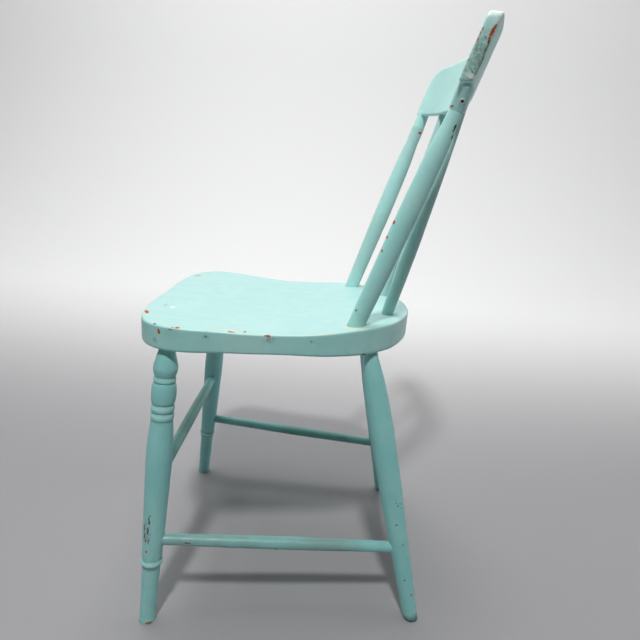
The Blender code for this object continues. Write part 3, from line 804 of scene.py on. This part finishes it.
def frayed_place(g):
    """Object coordinates pushed about a little, so that chips get ragged outlines."""
    coarse = g.vector("SUBTRACT", g.noise(COARSE_FRAY, colour=True), (0.5, 0.5, 0.5))
    fine = g.vector("SUBTRACT", g.noise(FINE_FRAY, colour=True), (0.5, 0.5, 0.5))
    pushed = g.vector("ADD", g.place, g.vector("SCALE", coarse, scale=COARSE_FRAY_REACH))
    return g.vector("ADD", pushed, g.vector("SCALE", fine, scale=FINE_FRAY_REACH))


def nearest(g, ragged, chips):
    """How far a point is from the nearest chip, in chip radii."""
    found = None
    for where, size, turn in chips:
        away = g.vector("LENGTH", g.mapped(where, turn, size, ragged))
        found = away if found is None else g.math("MINIMUM", found, away)
    return found


def chip(where, size, turn=(0.0, 0.0, 0.0)):
    """A mark on the paint: its middle, its half sizes in metres and its turn in degrees."""
    return where, size, tuple(radians(angle) for angle in turn)


def coat_colour(g, broad, cloudy, brushed, coat, worn, deep, top):
    """The paint's colour: faded in broad patches, cloudy, streaked, paler on ridges and tops, darker in
    grooves.
    """
    colour = g.mix(g.step(broad, 0.35, 0.70), coat, worn)
    colour = g.laid(colour, g.step(cloudy, 0.50, 0.78), 0.35, deep)
    colour = g.laid(colour, g.step(brushed, 0.42, 0.75), 0.30, worn)
    # What faces up is painted paler: partly worn paint, partly a painted highlight from the top light
    if top:
        upper = g.mix(g.step(brushed, 0.35, 0.72), *top)
        upper = g.laid(upper, g.step(broad, 0.48, 0.75), 0.5, top[1])
        colour = g.mix(g.step(up_share(g), 0.40, 0.92), colour, upper)
    # Ridges are painted paler, partly rubbed paint and partly a painted highlight; grooves get painted
    # shade
    colour = g.laid(colour, g.attribute("ridge"), 0.70, AQUA_PALE)
    return g.laid(colour, g.attribute("groove"), 0.38, SHADE_TEAL)


def tinted(g, colour, shifted, ragged, tints):
    """Paint that has turned to another colour in places."""
    blotchy = g.step(g.noise(TINT_BLOTCHES, shifted), 0.34, 0.64, 0.15, 0.9)
    for place, tint in tints:
        colour = g.laid(colour, g.step(nearest(g, ragged, [place]), 1.15, 0.55), blotchy, tint)
    return colour


def dirtied(g, colour, shifted, ragged, stains):
    """Dirt on the paint: patchy stains in places, and specks all over."""
    if stains:
        patches = g.step(g.noise(DIRT_PATCHES, shifted), 0.36, 0.66)
        dirt = g.math("MULTIPLY", g.step(nearest(g, ragged, stains), 1.25, 0.35), patches)
        colour = g.laid(colour, dirt, 0.60, GRIME)
    return g.laid(colour, g.step(g.noise(SPECKS, shifted), 0.76, 0.80), 0.45, GRIME)


def flaked(g, colour, shifted, ragged, flakes):
    """Paint lost down to an orange coat and, in the middle, to wood. Gives the colour and the hole."""
    away = nearest(g, ragged, flakes)
    colour = g.laid(colour, g.step(away, 1.45, 1.05), 0.55, PRIMER)
    old_coat = g.mix(g.step(g.noise(OLD_COAT_MOTTLE, shifted), 0.40, 0.66), ORANGE, RED_BROWN)
    hole = g.step(away, 1.02, 0.90)
    colour = g.mix(hole, colour, old_coat)
    return g.mix(g.step(away, 0.45, 0.22), colour, OLD_WOOD), hole


def bared(g, colour, ragged, spots):
    """Paint lost down to old dark wood. Gives the colour and the hole."""
    away = nearest(g, ragged, spots)
    colour = g.laid(colour, g.step(away, 1.5, 1.0), 0.25, PRIMER)
    hole = g.step(away, 1.05, 0.85)
    return g.mix(hole, colour, OLD_WOOD), hole


def worn_paint(name, coat, worn, deep, grain, flakes=(), spots=(), stains=(), tints=(), edge=None,
               top=None, seed=0.0):
    """Aqua house paint on wood: brushed, faded, dirty, shade painted into grooves, flaked down to older
    coats.

    flakes show the orange coat, spots show old dark wood, stains are dirt on top, and tints are
    pairs of a place and the colour that the paint has turned to there. edge is a function that
    gives masks of where a rim is rubbed thin and where it is bare. top is the pair of colours of
    what faces up, paler: partly worn paint and partly a painted highlight from the top light.
    """
    g = Graph(name)
    shifted = g.mapped((seed, seed, seed))
    ragged = frayed_place(g)
    broad = g.noise(BROAD_FADE, shifted)
    cloudy = g.noise(CLOUDS, shifted)
    brushed = g.noise(BRUSH_MARKS, g.mapped(size=grain, source=shifted))
    colour = coat_colour(g, broad, cloudy, brushed, coat, worn, deep, top)
    colour = tinted(g, colour, shifted, ragged, tints)
    colour = dirtied(g, colour, shifted, ragged, stains)
    height = g.math("MULTIPLY", brushed, 0.5)
    rough = g.step(cloudy, 0.3, 0.8, 0.34, 0.52)
    if edge:
        rub, bare = edge(g, shifted)
        colour = g.mix(bare, g.mix(rub, colour, PRIMER), RED_BROWN)
        height = g.math("SUBTRACT", height, bare)
    holes = []
    if flakes:
        colour, hole = flaked(g, colour, shifted, ragged, flakes)
        holes.append(hole)
    if spots:
        colour, hole = bared(g, colour, ragged, spots)
        holes.append(hole)
    lost = None
    for hole in holes:
        height = g.math("SUBTRACT", height, hole)
        lost = hole if lost is None else g.math("MAXIMUM", lost, hole)
    if holes:
        rough = g.math("ADD", rough, g.math("MULTIPLY", lost, 0.30))
    g.put(g.shader.inputs["Base Color"], colour)
    g.put(g.shader.inputs["Roughness"], rough)
    g.shader.inputs["Specular IOR Level"].default_value = 0.45
    fine = g.bump(g.noise(PAINT_SKIN, shifted), 0.0002, 0.12)
    g.put(g.shader.inputs["Normal"], g.bump(height, 0.0006, 0.45, fine))
    return g.material


def up_share(g):
    """How much the surface faces up: 1 on a level top and 0 on a wall."""
    normal = g.tree.nodes.new("ShaderNodeNewGeometry").outputs["Normal"]
    parts = g.tree.nodes.new("ShaderNodeSeparateXYZ")
    g.put(parts.inputs[0], normal)
    return parts.outputs["Z"]


def seat_edge(g, shifted):
    """Where the rounded upper rim of the seat is rubbed thin, and where it is bare."""
    up = up_share(g)
    rim = g.math("MULTIPLY", g.step(up, 0.30, 0.60), g.step(up, 0.985, 0.93))
    broken = g.noise(RIM_BREAKS, shifted)
    rub = g.math("MULTIPLY", rim, g.step(broken, 0.52, 0.66))
    bare = g.math("MULTIPLY", rim, g.step(broken, 0.68, 0.72))
    return g.math("MULTIPLY", rub, 0.55), g.math("MULTIPLY", bare, 0.8)


def rusty_steel():
    g = Graph("rusty_steel")
    pitted = g.noise(RUST_PITS)
    g.put(g.shader.inputs["Base Color"], g.mix(g.step(pitted, 0.35, 0.65), RUST, OLD_WOOD))
    g.put(g.shader.inputs["Roughness"], g.step(pitted, 0.3, 0.7, 0.55, 0.9))
    g.shader.inputs["Metallic"].default_value = 0.3
    g.put(g.shader.inputs["Normal"], g.bump(pitted, 0.0003, 0.6))
    return g.material


def chalky_filler():
    g = Graph("chalky_filler")
    crumbs = g.noise(FILLER_CRUMBS)
    g.put(g.shader.inputs["Base Color"], g.mix(g.step(crumbs, 0.35, 0.72), FILLER_PALE, AQUA))
    g.shader.inputs["Roughness"].default_value = 0.75
    g.put(g.shader.inputs["Normal"], g.bump(crumbs, 0.0004, 0.6))
    return g.material


# Grain: how long a brush mark is along each axis, in metres
ALONG_Z = (0.0022, 0.0022, 0.045)
ALONG_Y = (0.0026, 0.060, 0.0026)
ALONG_X = (0.060, 0.0026, 0.0026)


def seat_material():
    flakes = [
        # Tall chip on the edge near the front corner
        chip((0.1770, -0.1713, 0.4225), (0.0016, 0.0022, 0.0036)),
        # On the front rim
        chip((0.1240, -0.2035, 0.4297), (0.0080, 0.0030, 0.0022), (0, 0, 25)),
        # Along the near rim, from front to back
        chip((0.1778, -0.1500, 0.4287), (0.0026, 0.0070, 0.0013)),
        chip((0.1690, -0.0865, 0.4260), (0.0026, 0.0052, 0.0018)),
        chip((0.1615, -0.0709, 0.4254), (0.0030, 0.0024, 0.0014)),
        chip((0.1665, -0.0430, 0.4238), (0.0018, 0.0044, 0.0010)),
        chip((0.1600, 0.0150, 0.4256), (0.0016, 0.0022, 0.0010)),
        # On the far front corner
        chip((-0.1230, -0.1960, 0.4297), (0.0070, 0.0020, 0.0015), (0, 0, -30)),
        chip((-0.1480, -0.1830, 0.4290), (0.0045, 0.0016, 0.0012), (0, 0, -35)),
    ]
    spots = [
        # Round the near front corner and along the near edge
        chip((0.1712, -0.1775, 0.4290), (0.0026, 0.0028, 0.0014)),
        chip((0.1800, -0.1560, 0.4270), (0.0012, 0.0036, 0.0010)),
        chip((0.1790, -0.1560, 0.4262), (0.0012, 0.0020, 0.0016)),
        chip((0.1745, -0.1765, 0.4105), (0.0010, 0.0010, 0.0010)),
        chip((0.1779, -0.1149, 0.4215), (0.0010, 0.0016, 0.0008)),
        # Under the rim, over the back leg
        chip((0.1395, 0.0773, 0.3998), (0.0030, 0.0060, 0.0020)),
    ]
    stains = [
        # Smudges along the near edge
        chip((0.1662, -0.0400, 0.4195), (0.0030, 0.0080, 0.0060)),
        chip((0.1614, 0.0116, 0.4190), (0.0020, 0.0040, 0.0020)),
        chip((0.1779, -0.1149, 0.4205), (0.0020, 0.0050, 0.0024)),
        chip((0.1745, -0.1765, 0.4105), (0.0040, 0.0040, 0.0040)),
        # Smudges on the front rim and on the back rim
        chip((0.0847, -0.1904, 0.4300), (0.0070, 0.0035, 0.0020)),
        chip((-0.0127, 0.1459, 0.4358), (0.0100, 0.0050, 0.0030)),
    ]
    tints = [
        # Yellowed paint round the left post's foot and along the near rim
        (chip((POST_FOOT_X + 0.004, POST_FOOT_Y["left"] - 0.002, 0.4335), (0.0220, 0.0210, 0.0050)), STRAW),
        (chip((0.1600, 0.0350, 0.4290), (0.0035, 0.0450, 0.0030)), STRAW),
        (chip((0.1620, -0.1000, 0.4265), (0.0035, 0.0600, 0.0030)), STRAW),
        # A chalky spot near the front rim
        (chip((0.0930, -0.1790, 0.4298), (0.0060, 0.0040, 0.0030)), CHALK),
    ]
    # Where the seat faces up it is painted paler: partly worn paint, partly a painted highlight
    return worn_paint("aqua_seat_paint", AQUA, AQUA_WORN, AQUA_DEEP, ALONG_Y, flakes, spots, stains,
                      tints, seat_edge, (SEAT_PALE, FADED_AND_LIT_AQUA), 1.7)


def front_leg_material():
    spots = [
        # Scratches above the low ring
        chip((0.1903, -0.1809, 0.1725), (0.0010, 0.0014, 0.0012)),
        chip((0.1897, -0.1822, 0.1650), (0.0012, 0.0010, 0.0070)),
        chip((0.1880, -0.1894, 0.1530), (0.0014, 0.0010, 0.0080)),
        chip((0.1888, -0.1886, 0.1400), (0.0014, 0.0010, 0.0060)),
        chip((0.1904, -0.1838, 0.1480), (0.0012, 0.0008, 0.0090)),
        chip((0.1912, -0.1830, 0.1340), (0.0012, 0.0008, 0.0050)),
    ]
    flakes = [
        chip((0.1900, -0.1874, 0.1335), (0.0012, 0.0014, 0.0028)),
        chip((0.1915, -0.1864, 0.1171), (0.0012, 0.0018, 0.0022)),
        # Worn rim of the foot
        chip((0.1957, -0.1817, 0.0030), (0.0040, 0.0070, 0.0016)),
        chip((0.1900, -0.1980, 0.0020), (0.0060, 0.0040, 0.0012)),
    ]
    stains = [chip((0.1895, -0.1860, 0.1450), (0.0060, 0.0070, 0.0200))]
    return worn_paint("aqua_paint_front_left_leg", AQUA_LEG, AQUA, AQUA_DEEP, ALONG_Z, flakes, spots,
                      stains, seed=4.1)


def back_leg_material():
    spots = [
        # A cluster of nicks, and single ones below
        chip((0.1489, 0.1454, 0.1904), (0.0010, 0.0012, 0.0012)),
        chip((0.1486, 0.1488, 0.1857), (0.0010, 0.0016, 0.0010)),
        chip((0.1462, 0.1539, 0.1811), (0.0012, 0.0022, 0.0009)),
        chip((0.1470, 0.1520, 0.1880), (0.0009, 0.0009, 0.0014)),
        chip((0.1515, 0.1498, 0.1569), (0.0010, 0.0014, 0.0010)),
        chip((0.1523, 0.1628, 0.1253), (0.0009, 0.0009, 0.0016)),
        chip((0.1566, 0.1716, 0.0689), (0.0010, 0.0016, 0.0011)),
        # Dark rim of the foot
        chip((0.1560, 0.1890, 0.0010), (0.0120, 0.0110, 0.0008)),
    ]
    flakes = [
        chip((0.1563, 0.1839, 0.0442), (0.0012, 0.0012, 0.0022)),
    ]
    stains = [chip((0.1560, 0.1880, 0.0020), (0.0140, 0.0140, 0.0035))]
    return worn_paint("aqua_paint_back_left_leg", AQUA_LEG, AQUA, AQUA_DEEP, ALONG_Z, flakes, spots,
                      stains, seed=6.3)


def side_rod_material():
    spots = [
        # Dark nicks along the outer side
        chip((0.1750, -0.0850, 0.1192), (0.0022, 0.0060, 0.0008)),
        chip((0.1670, -0.0150, 0.1160), (0.0022, 0.0050, 0.0008)),
        chip((0.1770, -0.1050, 0.1290), (0.0012, 0.0012, 0.0008)),
        chip((0.1795, -0.1350, 0.1262), (0.0014, 0.0060, 0.0012)),
        chip((0.1702, -0.0439, 0.1205), (0.0010, 0.0012, 0.0010)),
        chip((0.1501, 0.0435, 0.1202), (0.0010, 0.0014, 0.0010)),
    ]
    stains = [chip((0.1580, 0.0700, 0.1120), (0.0060, 0.0300, 0.0035))]
    return worn_paint("aqua_paint_left_rod", AQUA_GREY, AQUA_LEG, AQUA_DEEP, ALONG_Y, (), spots, stains,
                      seed=2.9)


def post_material(side):
    if side == "right":
        flakes = [chip((-0.1165, 0.1600, 0.6945), (0.0030, 0.0040, 0.0018))]
        # Painted lighter than the left post: painted light bounced up from the seat
        return worn_paint("aqua_paint_right_post_bounce_lit", AQUA_PALE, FADED_AND_LIT_AQUA, AQUA, ALONG_Z, flakes, seed=8.8)
    flakes = [
        # At the joint with the rail
        chip((0.1300, 0.1490, 0.7032), (0.0045, 0.0021, 0.0010), (-17, 0, 0)),
        # On the front of the post, about half way up
        chip((0.1262, 0.1000, 0.5684), (0.0040, 0.0018, 0.0026)),
        chip((0.1245, 0.0925, 0.5498), (0.0060, 0.0026, 0.0020)),
        chip((0.1283, 0.0890, 0.5330), (0.0030, 0.0012, 0.0014)),
    ]
    spots = [
        # Scratches below the joint
        chip((0.1324, 0.1560, 0.6803), (0.0018, 0.0013, 0.0050), (-17, 0, 0)),
        chip((0.1312, 0.1555, 0.6710), (0.0014, 0.0011, 0.0040), (-17, 0, 0)),
        chip((0.1300, 0.1390, 0.6370), (0.0012, 0.0012, 0.0022)),
        # Near the post's foot
        chip((0.1290, 0.0640, 0.4560), (0.0014, 0.0014, 0.0034)),
    ]
    return worn_paint("aqua_paint_left_post", AQUA, AQUA_WORN, AQUA_DEEP, ALONG_Z, flakes, spots, seed=8.2)


def crest_material():
    lean = (-17.5, 0.0, 0.0)
    flakes = [
        # The big flake on the ear
        chip((0.1497, 0.1768, 0.7765), (0.0030, 0.0019, 0.0085), (-24, 0, 0)),
        # At the joint with the post
        chip((0.1300, 0.1490, 0.7036), (0.0045, 0.0020, 0.0009), lean),
        # Down the ear's front edge
        chip((0.1495, 0.1662, 0.7785), (0.0012, 0.0008, 0.0022), lean),
        chip((0.1495, 0.1645, 0.7740), (0.0012, 0.0007, 0.0022), lean),
        chip((0.1495, 0.1625, 0.7690), (0.0012, 0.0006, 0.0030), lean),
    ]
    spots = [
        # The split down the ear's back edge
        chip((0.1497, 0.1742, 0.7680), (0.0014, 0.0008, 0.0035), lean),
        chip((0.1490, 0.1728, 0.7600), (0.0016, 0.0008, 0.0070), lean),
        chip((0.1470, 0.1716, 0.7480), (0.0016, 0.0007, 0.0070), lean),
        # A nick in the middle of the ear
        chip((0.1500, 0.1702, 0.7712), (0.0008, 0.0008, 0.0010)),
    ]
    stains = [
        # Grime over the ear's end
        chip((0.1500, 0.1680, 0.7500), (0.0060, 0.0080, 0.0180)),
        chip((0.1480, 0.1640, 0.7380), (0.0060, 0.0070, 0.0050)),
    ]
    tints = [
        # The ear's end has gone grey-green, chalky at its foot; its pale top is worn paint and painted
        # highlight
        (chip((0.1500, 0.1670, 0.7490), (0.0040, 0.0200, 0.0340), lean), SAGE),
        (chip((0.1440, 0.1850, 0.7950), (0.0220, 0.0300, 0.0130), lean), CHALK),
        (chip((0.1490, 0.1640, 0.7320), (0.0060, 0.0120, 0.0030), lean), CHALK),
    ]
    # Where the rail faces up it is painted paler and chalky: partly worn paint, partly a painted highlight
    return worn_paint("aqua_paint_crest", AQUA_PALE, AQUA_WORN, AQUA, ALONG_X, flakes, spots, stains,
                      tints, top=(AQUA_PALE, CHALK), seed=5.5)


# The room

def make_floor():
    """A sheet that lies under the chair and sweeps up behind it."""
    bm = bmesh.new()
    bmesh.ops.create_grid(bm, x_segments=60, y_segments=1, size=SWEEP_REACH)
    for vert in bm.verts:
        past = -vert.co.x - SWEEP_START
        if past > 0:
            turn = min(past / SWEEP_RADIUS, pi / 2)
            rise = past - turn * SWEEP_RADIUS
            vert.co.x = -SWEEP_START - SWEEP_RADIUS * sin(turn)
            vert.co.z = SWEEP_RADIUS * (1 - cos(turn)) + rise
    mesh = bpy.data.meshes.new("floor")
    bm.to_mesh(mesh)
    bm.free()
    mesh.shade_smooth()
    floor = placed("floor", mesh)
    g = Graph("floor_with_painted_shade")
    parts = g.tree.nodes.new("ShaderNodeSeparateXYZ")
    g.put(parts.inputs[0], g.place)
    # Grey low and white high: a painted darkening towards the floor
    away = g.math("SUBTRACT", parts.outputs["Z"], g.math("MULTIPLY", parts.outputs["X"], PALE_LEAN))
    pale = g.step(away, PALE_FROM, PALE_TO)
    g.put(g.shader.inputs["Base Color"], g.mix(pale, FLOOR_GREY, WALL_WHITE))
    g.shader.inputs["Roughness"].default_value = 0.9
    g.shader.inputs["Specular IOR Level"].default_value = 0.1
    mesh.materials.append(g.material)


def make_world():
    world = bpy.data.worlds.new("studio")
    bpy.context.scene.world = world
    world.use_nodes = True
    shell = world.node_tree.nodes["Background"]
    shell.inputs["Color"].default_value = SKY
    shell.inputs["Strength"].default_value = SKY_STRENGTH


def make_lamp(name, direction, distance, size, power):
    """A round lamp that shines on the middle of the chair."""
    lamp = bpy.data.lights.new(name, "AREA")
    lamp.shape = "DISK"
    lamp.size = size
    lamp.energy = power
    holder = placed(name, lamp)
    away = Vector(direction).normalized()
    holder.location = LAMP_TARGET + away * distance
    holder.rotation_mode = "QUATERNION"
    holder.rotation_quaternion = away.to_track_quat("Z", "Y")


def make_camera():
    data = bpy.data.cameras.new("camera")
    data.lens = CAMERA_LENS
    data.sensor_width = CAMERA_SENSOR
    data.shift_x = CAMERA_SHIFT
    camera = placed("camera", data)
    forward = Vector((-cos(CAMERA_PITCH) * cos(CAMERA_YAW), cos(CAMERA_PITCH) * sin(CAMERA_YAW),
                      -sin(CAMERA_PITCH)))
    camera.location = CAMERA_AT
    camera.rotation_mode = "QUATERNION"
    camera.rotation_quaternion = forward.to_track_quat("-Z", "Y") @ Quaternion((0, 0, 1), CAMERA_ROLL)
    bpy.context.scene.camera = camera


def dress_chair():
    """Makes every piece of the chair with its paint."""
    plain = worn_paint("aqua_paint", AQUA_LEG, AQUA, AQUA_DEEP, ALONG_Z, seed=0.4)
    # The spindles are painted lighter: painted light bounced up from the seat
    seat_bounce_lit_paint = worn_paint("aqua_paint_spindles_bounce_lit", AQUA_PALE, FADED_AND_LIT_AQUA, AQUA, ALONG_Z, seed=7.7)
    # The front, back and right rods are painted darker: painted shade under the seat
    shaded_cross_rods = worn_paint("aqua_paint_rods_shaded", AQUA_ROD_SHADED, AQUA_DEEP, SHADE_TEAL, ALONG_X, seed=1.1)
    shaded_right_rod = worn_paint("aqua_paint_right_rod_shaded", AQUA_ROD_SHADED, AQUA_DEEP, SHADE_TEAL, ALONG_Y, seed=3.3)
    make_seat(seat_material())
    make_leg("leg_front_left", front_leg_material())
    make_leg("leg_front_right", plain)
    make_leg("leg_back_left", back_leg_material())
    make_leg("leg_back_right", plain)
    make_rod("stretcher_left", "leg_front_left", "leg_back_left", SIDE_STRETCHER_FRONT_Z,
             SIDE_STRETCHER_BACK_Z, side_rod_material())
    make_rod("stretcher_right", "leg_front_right", "leg_back_right", SIDE_STRETCHER_FRONT_Z,
             SIDE_STRETCHER_BACK_Z, shaded_right_rod)
    make_rod("stretcher_front", "leg_front_left", "leg_front_right", FRONT_STRETCHER_Z,
             FRONT_STRETCHER_Z, shaded_cross_rods)
    make_rod("stretcher_back", "leg_back_left", "leg_back_right", BACK_STRETCHER_Z, BACK_STRETCHER_Z, shaded_cross_rods)
    make_crest(crest_material())
    rusty = rusty_steel()
    filler = chalky_filler()
    for side, sign in (("left", 1), ("right", -1)):
        make_post(side, sign, post_material(side))
        make_spindle(side, sign, seat_bounce_lit_paint)
        make_nail(side, sign, rusty)
        make_filler(side, sign, filler)


make_camera()
make_world()
make_floor()
make_lamp("key", (0.68, -0.10, 1.0), distance=3.0, size=0.26, power=54.0)
make_lamp("top", (-0.15, -0.18, 1.0), distance=2.5, size=1.6, power=42.0)
make_lamp("rear", (-0.25, 1.0, 0.6), distance=2.5, size=1.4, power=9.0)
dress_chair()
bpy.context.scene.view_settings.view_transform = "Standard"
